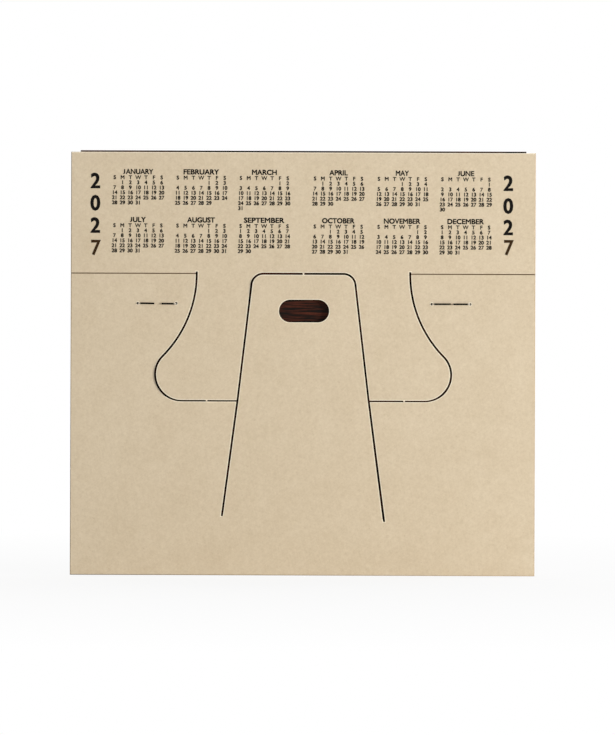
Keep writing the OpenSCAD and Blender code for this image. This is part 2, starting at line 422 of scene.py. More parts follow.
def chipboard_finish(tree, board):
    """Uncoated chipboard: soft clouds, felted fibres, sparse flecks and hairs, a pale band of torn
    fibres and painted highlight along the cuts, and painted shade on the cut walls, the outer rims and
    the fold's scored line.
    """
    cloud = tree.noise((0.1, 0.1, 0.1), 6, 0.62)
    felt = [tree.noise((0.5, 1.6, 2.1), 5, 0.62, turn) for turn in (0.3, 1.35, 2.4)]
    fibre = (felt[0] + felt[1] + felt[2]) / 3
    patch = tree.ramp(tree.noise((0.8, 0.8, 0.8), 2), [(0.55, 0), (0.66, 1)])
    line = tree.noise((0.5, 1, 1.3), 2, 0.5, 0.8)
    hair = patch * tree.ramp(line, [(0.488, 0), (0.5, 1), (0.512, 0)])
    depth = 0.27 + (cloud - 0.5) * 0.32 + (fibre - 0.5) * 1.3 + hair * 0.35
    fleck = tree.ramp(tree.noise((1.1, 1.3, 2.4), 3, 0.6, 0.5), [(0.68, 0), (0.75, 1)])
    tone = tree.mix(fleck * 0.35, tree.mix(depth, board.tone, board.shade), board.fleck)
    uneven = tree.ramp(tree.noise((3, 1, 3), 3, 0.6), [(0.3, 0.45), (0.6, 1)])
    # Pale band along the cuts: torn fibres, partly a painted highlight.
    raised = tree.mix(tree.mark("burr") * uneven, tone, board.core)
    # Painted shade on the cut walls, darker than the board's own tone.
    edged = tree.mix(tree.mark("cut_wall") * uneven, raised, board.wall)
    # Painted shade: the board's outer rims are darkened towards the fleck colour.
    worn = tree.mix(tree.mark("worn_rim") * (0.4 + fibre * 0.6), edged, board.fleck)
    torn = tree.mark("cut_wall") + tree.mark("burr")
    height = fibre + hair * 0.12 + torn * tree.noise((6, 3, 6), 2, 0.6) * 0.6
    # The fold's score: its pressed fibres' darker colour, with painted shade in the groove.
    tree.surface({"Base Color": tree.mix(tree.mark("score_line"), worn, board.score),
                  "Roughness": 0.82 + fibre * 0.16,
                  "Specular IOR Level": 0.2,
                  "Normal": tree.bump(height, mm(0.04), 0.42)})


def card_finish(tree, card):
    """Dark dyed card with fine level streaks, as in a brushed or wood-grained stock."""
    broad = tree.noise((0.035, 0.4, 0.24), 4, 0.55)
    fine = tree.noise((0.14, 0.8, 2.2), 4, 0.62)
    pore = tree.noise((0.3, 1, 7), 3, 0.6)
    streak = tree.ramp(broad * 0.5 + fine * 0.5, [(0.47, 0), (0.63, 1)])
    tree.surface({"Base Color": tree.mix(streak * 0.65, card.tone, card.streak),
                  "Roughness": 0.7 - streak * 0.12 + pore * 0.1,
                  "Specular IOR Level": 0.12,
                  "Normal": tree.bump(fine + pore * 0.5, mm(0.04), 0.5)})


def paper_finish(tree, pad):
    """Uncoated white paper with faint clouds and a fine tooth."""
    cloud = tree.noise((0.07, 0.3, 0.07), 3, 0.55)
    tooth = tree.noise((5, 5, 5), 4, 0.6)
    uneven = (cloud - 0.4) * 0.5 + (tooth - 0.5) * 0.3
    tree.surface({"Base Color": tree.mix(uneven, pad.paper, darker(pad.paper, 0.88)),
                  "Roughness": 0.72 + tooth * 0.2,
                  "Specular IOR Level": 0.3,
                  "Normal": tree.bump(tooth, mm(0.02), 0.35)})


def ink_finish(tree, tone, worn):
    """Printing ink that thins a little over the paper's tooth."""
    thin = tree.ramp(tree.noise((3.2, 3.2, 3.2), 4, 0.65), [(0.5, 0), (0.75, 1)])
    tree.surface({"Base Color": tree.mix(thin * 0.75, tone, worn),
                  "Roughness": 0.6 + thin * 0.3,
                  "Specular IOR Level": 0.1})


def wire_finish(tree, staple):
    """Drawn steel wire with a dull, slightly uneven skin, and a pale painted glint at its bends."""
    drawn = tree.noise((0.5, 9, 9), 3, 0.6)
    dull = tree.noise((1.4, 1.4, 1.4), 3, 0.6)
    skin = tree.mix(dull, staple.tone, darker(staple.tone, 0.55))
    # The pale colour at the bends is a painted glint, not bare metal.
    tree.surface({"Base Color": tree.mix(tree.mark("rubbed"), skin, staple.rubbed),
                  "Metallic": 1.0,
                  "Specular Tint": solid(staple.edge),
                  "Roughness": 0.26 + dull * 0.18,
                  "Normal": tree.bump(drawn, mm(0.01), 0.3)})


def finish(name):
    """A new material and its empty tree."""
    material = bpy.data.materials.new(name)
    material.use_nodes = True
    material.node_tree.nodes.clear()
    return material, Tree(material.node_tree)


def finishes(settings):
    """Every finish of the calendar, made once and kept by name."""
    card, pad, page, table = settings.card, settings.pad, settings.page, settings.table
    makers = {
        "kraft_chipboard": (chipboard_finish, settings.board),
        "streaked_card": (card_finish, card),
        "border_ink": (ink_finish, card.border, card.streak),
        "month_paper": (paper_finish, pad),
        "page_ink": (ink_finish, page.ink, page.rule),
        "sunday_ink": (ink_finish, page.sunday, page.rule),
        "rule_ink": (ink_finish, page.rule, pad.paper),
        "table_ink": (ink_finish, table.ink, table.worn),
        "faded_ink": (ink_finish, table.faded, table.worn),
        "drawn_wire": (wire_finish, settings.staple),
    }
    for name, (make, *looks) in makers.items():
        if name not in bpy.data.materials:
            make(finish(name)[1], *looks)
    return {name: bpy.data.materials[name] for name in makers}


def placed(name, data):
    """A new object in the scene."""
    made = bpy.data.objects.new(name, data)
    bpy.context.scene.collection.objects.link(made)
    return made


def piece(name, mesh):
    """A finished mesh as a new object at the origin, under that name."""
    mesh.name = name
    made = placed(name, mesh)
    return made


def smoothed(mesh, sharp):
    """A mesh, smooth but for the edges past that many degrees."""
    mesh.shade_smooth()
    mesh.set_sharp_from_angle(angle=math.radians(sharp))
    return mesh


def mesh_of(bm, material):
    """The smooth mesh of a bmesh, in one finish."""
    mesh = bpy.data.meshes.new("made")
    bm.to_mesh(mesh)
    bm.free()
    mesh.materials.append(material)
    return smoothed(mesh, SHEET_SHARP)


def joined(meshes):
    """Several meshes as one, each face with its own finish."""
    whole = bpy.data.meshes.new("joined")
    bm = bmesh.new()
    for mesh in meshes:
        places = []
        for material in mesh.materials:
            if material and whole.materials.find(material.name) < 0:
                whole.materials.append(material)
            places.append(whole.materials.find(material.name) if material else 0)
        for polygon in mesh.polygons:
            polygon.material_index = places[polygon.material_index]
        bm.from_mesh(mesh)
        bpy.data.meshes.remove(mesh)
    bm.to_mesh(whole)
    bm.free()
    return whole


def mark_faces(mesh, name, values):
    """Gives a mesh a mark on each face, for its finish."""
    mesh.attributes.new(name, "FLOAT", "FACE").data.foreach_set("value", values)


def geometry_tree(name, **inputs):
    """A new Geometry Nodes tree with its named inputs of each kind, and its input node."""
    group = bpy.data.node_groups.new(name, "GeometryNodeTree")
    for kind, labels in inputs.items():
        for label in labels:
            group.interface.new_socket(label, in_out="INPUT", socket_type="NodeSocket" + kind)
    group.interface.new_socket("Mesh", in_out="OUTPUT", socket_type="NodeSocketGeometry")
    tree = Tree(group)
    return tree, tree.node("NodeGroupInput")


def coated(tree, geometry, material):
    """Plain geometry in one finish, as every tree gives it."""
    whole = tree.node("GeometryNodeRealizeInstances", {}, {"Geometry": geometry})
    return tree.node("GeometryNodeSetMaterial", {}, {"Geometry": whole, "Material": material})


def ink_words_tree(count):
    """Columns of lettering side by side, as closed ink whose first column can have its own colour."""
    columns = [f"Column {place}" for place in range(1, count + 1)]
    tree, given = geometry_tree(
        f"ink_words_{count}", String=columns, Material=("Ink", "First ink"),
        Float=("Size", "Narrow", "Bold", "Column step", "Row step", "Depth"))
    step = given["Column step"]
    size = given["Size"]
    narrow = tree.node("ShaderNodeCombineXYZ", {}, {"X": given["Narrow"], "Y": 1.0, "Z": 1.0})
    strips = []
    for place, column in enumerate(columns):
        words = tree.node("GeometryNodeStringToCurves",
                          {"align_x": "CENTER", "align_y": "TOP_BASELINE"},
                          {"String": given[column], "Size": size,
                           "Line Spacing": given["Row step"] / size})
        where = tree.node("ShaderNodeCombineXYZ", {}, {"X": step * (place - (count - 1) / 2)})
        strips.append(tree.node("GeometryNodeTransform", {},
                                {"Geometry": words, "Translation": where, "Scale": narrow}))
    strip = tree.node("GeometryNodeJoinGeometry", {}, {"Geometry": strips})
    outline = tree.node("GeometryNodeRealizeInstances", {}, {"Geometry": strip})
    coarse = tree.node("GeometryNodeSetSplineResolution", {}, {"Geometry": outline, "Resolution": 3})
    drawn = tree.node("GeometryNodeResampleCurve", {"mode": "EVALUATED"}, {"Curve": coarse})
    tangent = tree.node("GeometryNodeInputTangent")
    outward = tree.node("ShaderNodeVectorMath", {"operation": "CROSS_PRODUCT"},
                        {0: tangent, 1: (0, 0, 1)})
    swell = tree.node("ShaderNodeVectorMath", {"operation": "SCALE"},
                      {0: outward, "Scale": given["Bold"]})
    bold = tree.node("GeometryNodeSetPosition", {}, {"Geometry": drawn, "Offset": swell})
    flat = tree.node("GeometryNodeFillCurve", {"mode": "TRIANGLES"}, {"Curve": bold})
    raised = tree.node("GeometryNodeExtrudeMesh", {"mode": "FACES"},
                       {"Mesh": flat, "Offset Scale": given["Depth"], "Individual": False})
    under = tree.node("GeometryNodeFlipFaces", {}, {"Mesh": flat})
    both = tree.node("GeometryNodeJoinGeometry", {}, {"Geometry": [raised, under]})
    ink = tree.node("GeometryNodeMergeByDistance", {}, {"Geometry": both, "Distance": mm(0.001)})
    point = tree.node("GeometryNodeInputPosition")
    across = tree.node("ShaderNodeSeparateXYZ", {}, {"Vector": point})
    first = tree.node("GeometryNodeSetMaterial", {},
                      {"Geometry": coated(tree, ink, given["Ink"]),
                       "Selection": across < step * (1 - count / 2), "Material": given["First ink"]})
    tree.node("NodeGroupOutput", {}, {"Mesh": first})
    return tree.group


def ruled_grid_tree():
    """Ruled lines both ways, each in short lengths so that it can follow a curled sheet."""
    tree, given = geometry_tree(
        "ruled_grid", Float=("Column step", "Row step", "Line width", "Depth"),
        Int=("Columns", "Rows", "Lengths"), Material=("Ink",))
    profile = tree.node("GeometryNodeCurvePrimitiveQuadrilateral", {},
                        {"Width": given["Line width"], "Height": given["Depth"]})
    columns = given["Column step"], given["Columns"]
    rows = given["Row step"], given["Rows"]
    sets = []
    for along, beside, (space, spaces), (step, count) in (("X", "Y", columns, rows),
                                                          ("Y", "X", rows, columns)):
        reach = space * spaces
        ends = [tree.node("ShaderNodeCombineXYZ", {}, {along: reach * side}) for side in (-0.5, 0.5)]
        line = tree.node("GeometryNodeCurvePrimitiveLine", {}, {"Start": ends[0], "End": ends[1]})
        bars = tree.node("GeometryNodeResampleCurve", {},
                         {"Curve": line, "Count": given["Lengths"] + 1})
        first = tree.node("ShaderNodeCombineXYZ", {}, {beside: step * count * -0.5})
        offset = tree.node("ShaderNodeCombineXYZ", {}, {beside: step})
        points = tree.node("GeometryNodeMeshLine", {},
                           {"Count": count + 1, "Start Location": first, "Offset": offset})
        copies = tree.node("GeometryNodeInstanceOnPoints", {}, {"Points": points, "Instance": bars})
        paths = tree.node("GeometryNodeRealizeInstances", {}, {"Geometry": copies})
        sets.append(tree.node("GeometryNodeCurveToMesh", {},
                              {"Curve": paths, "Profile Curve": profile, "Fill Caps": True}))
    lines = tree.node("GeometryNodeJoinGeometry", {}, {"Geometry": sets})
    tree.node("NodeGroupOutput", {}, {"Mesh": coated(tree, lines, given["Ink"])})
    return tree.group


def wire_tree():
    """A round wire swept along the path that the object's own edges give, with rounded bends."""
    tree, given = geometry_tree("bent_wire", Geometry=("Path",), Float=("Diameter", "Bend"),
                                Material=("Wire",))
    path = tree.node("GeometryNodeMeshToCurve", {}, {"Mesh": given["Path"]})
    bent = tree.node("GeometryNodeFilletCurve", {"mode": "POLY"},
                     {"Curve": path, "Count": 7, "Radius": given["Bend"], "Limit Radius": True})
    even = tree.node("GeometryNodeResampleCurve", {"mode": "LENGTH"},
                     {"Curve": bent, "Length": given["Diameter"] * 0.35})
    profile = tree.node("GeometryNodeCurvePrimitiveCircle", {},
                        {"Resolution": 18, "Radius": given["Diameter"] * 0.5})
    wire = tree.node("GeometryNodeCurveToMesh", {},
                     {"Curve": even, "Profile Curve": profile, "Fill Caps": True})
    tree.node("NodeGroupOutput", {}, {"Mesh": coated(tree, wire, given["Wire"])})
    return tree.group


def grown(group, values, base=None):
    """The plain mesh that a Geometry Nodes tree gives for its named inputs."""
    seed = placed("seed", base or bpy.data.meshes.new("seed"))
    modifier = seed.modifiers.new("tree", "NODES")
    modifier.node_group = group
    for socket in group.interface.items_tree:
        if socket.in_out == "INPUT" and socket.name in values:
            modifier[socket.identifier] = values[socket.name]
    depsgraph = bpy.context.evaluated_depsgraph_get()
    mesh = bpy.data.meshes.new_from_object(seed.evaluated_get(depsgraph))
    bpy.data.objects.remove(seed)
    if not mesh.polygons:
        raise RuntimeError(f"the tree {group.name} gave no faces")
    return mesh


def flat_box(mesh):
    """The lowest and highest corners of lettering in the XY plane."""
    xs = [vert.co.x for vert in mesh.vertices]
    ys = [vert.co.y for vert in mesh.vertices]
    return Vector((min(xs), min(ys))), Vector((max(xs), max(ys)))


def lettering(group, text, size, bold, depth, material, narrow=1.0, width=None):
    """A word as closed ink, centred on the middle of its capitals, in the XY plane."""
    letters = []
    place = 0
    for part in (text[:1], text[1:]) if text[:1] == "J" else (text,):
        mesh = grown(group, {"Column 1": part, "Size": size, "Narrow": narrow, "Bold": bold,
                             "Column step": 0.0, "Row step": size, "Depth": depth, "Ink": material,
                             "First ink": material})
        low, high = flat_box(mesh)
        if part == "J":
            # The font's J hangs below the line, so it is made a capital's height and set on it.
            mesh.transform(Matrix.Diagonal((1, CAPITAL * size / (high.y - low.y), 1, 1)))
            mesh.transform(Matrix.Translation((0, -flat_box(mesh)[0].y, 0)))
        mesh.transform(Matrix.Translation((place - low.x, 0, 0)))
        place += high.x - low.x + LETTER_GAP * size
        letters.append(mesh)
    word = joined(letters)
    low, high = flat_box(word)
    word.transform(Matrix.Translation((-(low.x + high.x) / 2, -CAPITAL * size / 2, 0)))
    if width:
        word.transform(Matrix.Diagonal((width / (high.x - low.x), 1, 1, 1)))
    return word


def month_days(group, month, table, ink, first_ink):
    """A month's seven columns as closed ink, each a weekday letter with its days below."""
    values = {"Size": table.number_size, "Narrow": table.narrow, "Bold": table.number_bold,
              "Column step": table.column_step, "Row step": table.row_step, "Depth": table.depth,
              "Ink": ink, "First ink": first_ink}
    blanks = (FIRST_WEEKDAY + sum(MONTH_DAYS[:month])) % 7
    for place, letter in enumerate(WEEKDAYS):
        days = [row * 7 + place - blanks + 1 for row in range(WEEK_ROWS)]
        lines = [letter] + [str(day) if 1 <= day <= MONTH_DAYS[month] else "" for day in days]
        values[f"Column {place + 1}"] = "\n".join(lines).rstrip("\n")
    return grown(group, values)


def set_down(mesh, face, x, y, z):
    """Lays flat printing, made in the XY plane, on the back or the front at that point."""
    mesh.transform(Matrix.Translation((x, y, z)) @ face)
    return mesh


def slab(xs, zs, back, front, forward=None):
    """A closed thin sheet over a grid, from back to front, pushed forward by a rule."""
    bm = bmesh.new()
    rows = [[bm.verts.new((x, back, z)) for x in xs] for z in zs]
    for low, high in zip(rows, rows[1:]):
        for place in range(len(xs) - 1):
            bm.faces.new((low[place], low[place + 1], high[place + 1], high[place]))
    raised = bmesh.ops.extrude_face_region(bm, geom=bm.faces[:] + bm.edges[:], use_keep_orig=True)
    for part in raised["geom"]:
        if isinstance(part, bmesh.types.BMVert):
            part.co.y = front
    bmesh.ops.recalc_face_normals(bm, faces=bm.faces)
    if forward:
        for vert in bm.verts:
            vert.co.y += forward(vert.co.x, vert.co.z)
    return bm


def bend_rows(bend, reach):
    """Heights close together, across a bend that reaches that far both ways."""
    return steps(bend - reach, bend + reach, reach / 5)


def sheet_rows(low, high, bend, reach, step):
    """Heights of a sheet's rows, with those of its bend among them."""
    below, above = steps(low, bend - reach, step), steps(bend + reach, high, step)
    return below[:-1] + bend_rows(bend, reach) + above[1:]


def round_edges(bm, edges, radius):
    """Rounds those edges in two steps."""
    bmesh.ops.bevel(bm, geom=edges, offset=radius, offset_type="OFFSET", segments=2, profile=0.5,
                    affect="EDGES", clamp_overlap=False)


def board_copy(node):
    """A merged copy of a board node, with its flat faces whole again."""
    bm = bmesh.new()
    bm.from_mesh(frame["nodes"][node].data)
    bmesh.ops.remove_doubles(bm, verts=bm.verts, dist=mm(0.005))
    bmesh.ops.dissolve_limit(bm, angle_limit=math.radians(0.5), use_dissolve_boundaries=False,
                             verts=bm.verts, edges=bm.edges)
    return bm


def on_rim(point, reach):
    """Whether a point is that near to the board's sides or foot."""
    low, high = BOARD_BOX
    return min(point.x - low.x, high.x - point.x, point.z - low.z) < reach


def work_edges(bm, board, sharp):
    """Marks the pale band of burr and painted highlight along the die-cut edges and rounds all edges,
    apart from those that sharp keeps.
    """
    def at_rim(edge):
        return on_rim((edge.verts[0].co + edge.verts[1].co) / 2, SAME)

    burr = bm.faces.layers.float.new("burr")
    back = [face for face in bm.faces if face.normal.y < -FLAT]
    band = bmesh.ops.inset_region(bm, faces=back, thickness=board.burr, use_even_offset=True,
                                  use_boundary=True)["faces"]
    for face in band:
        cut = [edge for edge in face.edges if edge.calc_face_angle(0) > CUT_ANGLE]
        kept = any(sharp(edge) or at_rim(edge) for edge in cut)
        face[burr] = float(bool(cut) and not kept)
    for rim, radius in ((True, board.rim_round), (False, board.edge_round)):
        chosen = []
        for edge in bm.edges:
            level = abs(edge.verts[0].co.y - edge.verts[1].co.y) < mm(0.001)
            if level and edge.calc_face_angle(0) > CUT_ANGLE and not sharp(edge):
                if at_rim(edge) == rim:
                    chosen.append(edge)
        round_edges(bm, chosen, radius)


def cut_across(bm, places, normal):
    """Cuts a piece at those places along a direction, so that it can bend there."""
    for place in places:
        parts = bm.verts[:] + bm.edges[:] + bm.faces[:]
        bmesh.ops.bisect_plane(bm, geom=parts, dist=mm(0.0005), plane_co=normal * place,
                               plane_no=normal)


def board_piece(name, bm, board, material):
    """A board piece with its cut walls, outer rim and scored fold marked for the finish, which gives
    them painted shade.
    """
    fold = joint_place("header_fold").z
    bmesh.ops.dissolve_degenerate(bm, dist=GAP, edges=bm.edges)
    marks = {"cut_wall": [], "worn_rim": [], "score_line": []}
    for face in bm.faces:
        spot = face.calc_center_median()
        slanted = abs(face.normal.y) < SLANTED
        # The outer rim's faces get painted shade in the finish.
        rim = slanted and on_rim(spot, board.rim_round)
        score = slanted and abs(spot.z - fold) < FOLD_HALF and abs(spot.x) > LEG_BOX[1].x
        marks["cut_wall"].append(float(slanted and not rim))
        marks["worn_rim"].append(float(rim))
        marks["score_line"].append(float(score))
    mesh = mesh_of(bm, material)
    for mark, values in marks.items():
        mark_faces(mesh, mark, values)
    for polygon, wall, rim in zip(mesh.polygons, marks["cut_wall"], marks["worn_rim"]):
        polygon.use_smooth = wall + rim > 0
    return piece(name, mesh)


class CALENDAR_OT_board(bpy.types.Operator):
    """Make the chipboard back: lower panel, header with wings, and leg"""

    bl_idname = "calendar.board"
    bl_label = "Chipboard back"

    # The panel's share of the narrowed cut, the root's depth in hinge reaches, and the wings' bow.
    panel_share = 0.67
    root_depth = 1.2
    wing_bow = 1.5

    # How far up the narrowing fades, the cut below the nicks, the straight end of the leg's root, the
    # heights over the fold where the header's neck is measured, and the skins' distance from the sides.
    foot_bend = mm(2)
    foot_gap = mm(0.06)
    root_end = mm(0.6)
    neck = mm(0.3), mm(0.7)
    skin_inset = mm(0.2)

    def execute(self, context):
        settings = context.scene.calendar
        board = settings.board
        material = finishes(settings)["kraft_chipboard"]
        self.hinge = joint_place("leg_swing")
        self.root = self.hinge.z - board.hinge_reach * self.root_depth
        self.fold = joint_place("header_fold").z
        self.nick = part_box("header_panel")[0].z
        self.panel(board, material)
        self.header(board, material)
        self.leg(board, material)
        self.fold_skin(board, material)
        return {"FINISHED"}

    def folded(self, edge):
        """Whether an edge lies where the leg meets the panel, or in the header's fold."""
        left, right = (corner.x for corner in LEG_BOX)
        root = all(self.root - NEAR < vert.co.z < self.hinge.z + NEAR
                   and left - NEAR < vert.co.x < right + NEAR for vert in edge.verts)
        return root or all(abs(vert.co.z - self.fold) < FOLD_HALF and abs(vert.co.x) > right
                           for vert in edge.verts)

    def draw_root(self, bm):
        """Draws the fold line down to the leg's root, where board and leg meet, but for its left end."""
        left, right = (corner.x for corner in LEG_BOX)
        cut_across(bm, (left, left + self.root_end), ACROSS)
        for vert in bm.verts:
            level = abs(vert.co.z - self.hinge.z) < SAME * 2
            if level and left - NEAR < vert.co.x < right + NEAR * 4:
                vert.co.z = self.hinge.z if vert.co.x < left + NEAR else self.root

    def close_foot(self, bm, level, shift):
        """Moves the edge at that height, and less of the bend above it, to narrow the cut there."""
        for vert in bm.verts:
            rise = vert.co.z - level
            if SAME * -2 < rise < self.foot_bend:
                vert.co.z += shift * (1 - rise / self.foot_bend)

    def panel(self, board, material):
        """The lower panel, which everything else is fastened to."""
        bm = board_copy("back_panel")
        self.draw_root(bm)
        self.close_foot(bm, self.nick - self.foot_gap, board.foot_close * self.panel_share)
        work_edges(bm, board, self.folded)
        made = board_piece("board_panel", bm, board, material)
        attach(made, "panel")
        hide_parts("back_panel")

    def header(self, board, material):
        """The strip above the fold line with its two wings, which stand off a little."""
        bm = board_copy("header_panel")
        foot = min(vert.co.z for vert in bm.verts if vert.co.z > self.nick + mm(0.1))
        for vert in bm.verts:
            if vert.co.z < self.nick + SAME:
                vert.co.z += board.foot_close * self.panel_share
        self.close_foot(bm, foot, board.foot_close * (self.panel_share - 1))
        work_edges(bm, board, self.folded)
        cut_across(bm, steps(foot + board.row_step, self.fold, board.row_step), UP)
        for vert in bm.verts:
            drop = min(max((self.fold - vert.co.z) / (self.fold - foot), 0), 1)
            lift = board.left_lift if vert.co.x < 0 else board.right_lift
            vert.co.y -= lift * math.sin(drop * math.pi / 2) ** self.wing_bow
        made = board_piece("board_header", bm, board, material)
        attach(made, "header")
        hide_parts("header_panel")

    def leg(self, board, material):
        """The easel leg, one with the panel at its root, with close rows across the bend there."""
        bm = board_copy("easel_leg")
        self.draw_root(bm)
        work_edges(bm, board, self.folded)
        low, high = LEG_BOX
        reach = board.hinge_reach
        rows = bend_rows(self.hinge.z, reach)
        rows += steps(self.hinge.z + board.row_step, high.z - mm(0.4), board.row_step)
        cut_across(bm, rows, UP)
        for vert in bm.verts:
            rise = max((vert.co.z - self.hinge.z) / (high.z - self.hinge.z), 0)
            vert.co.y -= board.leg_lift * rise * rise
        made = board_piece("board_leg", bm, board, material)
        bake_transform(made)
        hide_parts("easel_leg")

    def fold_skin(self, board, material):
        """The front fibres that join header and panel at the bottom of the fold's half-cut."""
        low, high = BOARD_BOX
        foot, head = (self.fold + height for height in self.neck)
        root = max(vert.co.x for vert in frame["nodes"]["header_panel"].data.vertices
                   if foot < vert.co.z < head)
        reach = board.hinge_reach
        heights = steps(self.fold - reach * 2, self.fold + reach * 2, reach / 5)
        for name, start, end in (("left", low.x + self.skin_inset, -root),
                                 ("right", root, high.x - self.skin_inset)):
            bm = slab((start, end), heights, high.y - board.skin, high.y - GAP)
            # The skin's back faces, at the bottom of the fold's groove, get the score's painted shade.
            scored = [float(face.normal.y < -0.5) for face in bm.faces]
            mesh = mesh_of(bm, material)
            mark_faces(mesh, "score_line", scored)
            skin = piece("fold_skin_" + name, mesh)
            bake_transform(skin)


def frame_line(bm, low, high, radius, width, back, front):
    """A closed flat line round a rectangle with rounded corners."""
    rings = []
    for inset in (0, width):
        turn = max(radius - inset, NEAR)
        left, right = low[0] + inset + turn, high[0] - inset - turn
        foot, head = low[1] + inset + turn, high[1] - inset - turn
        ring = []
        for corner, (x, z) in enumerate(((right, head), (left, head), (left, foot), (right, foot))):
            for way in steps(math.pi / 2 * corner, math.pi / 2 * (corner + 1), math.pi / 16):
                ring.append((x + turn * math.cos(way), z + turn * math.sin(way)))
        rings.append(ring)
    loops = [[bm.verts.new((x, y, z)) for x, z in ring] for y in (back, front) for ring in rings]
    faces = []
    for first, second in ((0, 1), (1, 3), (3, 2), (2, 0)):
        for place in range(len(ring)):
            faces.append(bm.faces.new((loops[first][place - 1], loops[first][place],
                                       loops[second][place], loops[second][place - 1])))
    bmesh.ops.recalc_face_normals(bm, faces=faces)


class CALENDAR_OT_front_card(bpy.types.Operator):
    """Make the dark front card, in one piece over the fold, and the border on its header"""

    bl_idname = "calendar.front_card"
    bl_label = "Front card"

    row_step = mm(6)
    column_step = mm(8)
    thin_line_inset = mm(1.3)
    thin_line_share = 0.4

    def execute(self, context):
        settings = context.scene.calendar
        card = settings.card
        made = finishes(settings)
        low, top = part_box("front_card_field")[0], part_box("front_card_top")[1]
        fold = joint_place("header_fold")
        reach = card.fold_reach
        bm = slab(steps(low.x, top.x, self.column_step),
                  sheet_rows(low.z, top.z, fold.z, reach, self.row_step), low.y, top.y)
        rim = [edge for edge in bm.edges if edge.calc_face_angle(0) > math.radians(45)]
        round_edges(bm, rim, card.edge_round)
        sheet = piece("front_card", mesh_of(bm, made["streaked_card"]))
        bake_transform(sheet)
        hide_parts("front_card_field", "front_card_top")
        self.border(card, made["border_ink"], fold, top)
        return {"FINISHED"}

    def border(self, card, material, fold, top):
        """A thick and a thin line round the header's front."""
        bm = bmesh.new()
        thin = card.border_inset + self.thin_line_inset, card.border_width * self.thin_line_share
        for inset, width in ((card.border_inset, card.border_width), thin):
            frame_line(bm, (-top.x + inset, fold.z + inset), (top.x - inset, top.z - inset),
                       card.border_round, width, top.y - GAP, top.y + card.border_depth)
        lines = piece("header_border", mesh_of(bm, material))
        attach(lines, "header")


def sheet_name(number):
    """A month's number as the frame's names write it."""
    return f"{number:02d}"


def sheet_curl(pad, number):
    """The rule by which a sheet's foot stands forward, most at its corners; less for each behind."""
    amount = pad.curl * (len(MONTHS) + 1 - number) / len(MONTHS)
    bend = joint_place("turn_" + sheet_name(number)).z
    low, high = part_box("month_leaf_" + sheet_name(number))

    def forward(x, z):
        down = min(max((bend - pad.bend_reach - z) / (bend - low.z), 0), 1)
        side = x / high.x
        corner = 0.4 + 0.6 * abs(side) ** 3 * (1 if side < 0 else 0.7)
        return amount * down * down * corner

    return forward


class CALENDAR_OT_month_sheets(bpy.types.Operator):
    """Make the twelve month sheets, each in one piece over its bend line"""

    bl_idname = "calendar.month_sheets"
    bl_label = "Month sheets"

    row_step = mm(3.5)
    column_step = mm(5)
    stray_turns = 2.4, 3.7

    def execute(self, context):
        settings = context.scene.calendar
        pad = settings.pad
        material = finishes(settings)["month_paper"]
        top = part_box("sheet_stubs")[1].z
        reach = pad.bend_reach
        for number in range(1, len(MONTHS) + 1):
            label = sheet_name(number)
            low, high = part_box("month_leaf_" + label)
            bend = joint_place("turn_" + label)
            stray = pad.stray * math.sin(number * self.stray_turns[0])
            slip = pad.stray * math.cos(number * self.stray_turns[1])
            bm = slab(steps(low.x + stray, high.x + stray, self.column_step),
                      sheet_rows(low.z + slip, top + slip, bend.z, reach, self.row_step),
                      low.y, high.y, sheet_curl(pad, number))
            sheet = piece("month_sheet_" + label, mesh_of(bm, material))
            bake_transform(sheet)
            nodes = ["month_leaf_" + label]
            if number == 1:
                nodes.append("sheet_stubs")
            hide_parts(*nodes)
        return {"FINISHED"}


class CALENDAR_OT_month_print(bpy.types.Operator):
    """Print a plain month grid on the front of each sheet"""

    bl_idname = "calendar.month_print"
    bl_label = "Month printing"

    rule_lengths = 28
    rule_lift = 0.3

    def execute(self, context):
        settings = context.scene.calendar
        page = settings.page
        made = finishes(settings)
        numbers = ink_words_tree(len(WEEKDAYS))
        words = ink_words_tree(1)
        grid = ruled_grid_tree()
        rows = WEEK_ROWS + 1
        middle = page.grid_top - page.row_step * rows / 2
        base = page.grid_top - page.row_step / 2 - page.number_size * CAPITAL / 2
        title_middle = page.title_base + page.title_size * CAPITAL / 2
        for number, month in enumerate(MONTHS, 1):
            label = sheet_name(number)
            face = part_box("month_leaf_" + label)[1].y
            days = month_days(numbers, number - 1, page, made["page_ink"], made["sunday_ink"])
            ruled = grown(grid, {"Column step": page.column_step, "Row step": page.row_step,
                                 "Columns": len(WEEKDAYS), "Rows": rows, "Depth": page.depth,
                                 "Line width": page.rule_width, "Lengths": self.rule_lengths,
                                 "Ink": made["rule_ink"]})
            title = lettering(words, month, page.title_size, page.title_bold, page.depth,
                              made["page_ink"])
            set_down(days, FRONT_PRINT, 0, face, base)
            set_down(ruled, FRONT_PRINT, 0, face + page.depth * self.rule_lift, middle)
            set_down(title, FRONT_PRINT, 0, face, title_middle)
            mesh = joined([days, ruled, title])
            forward = sheet_curl(settings.pad, number)
            for vert in mesh.vertices:
                vert.co.y += forward(vert.co.x, vert.co.z)
            printing = piece("month_print_" + label, mesh)
            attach(printing, "leaf_" + label)
        return {"FINISHED"}


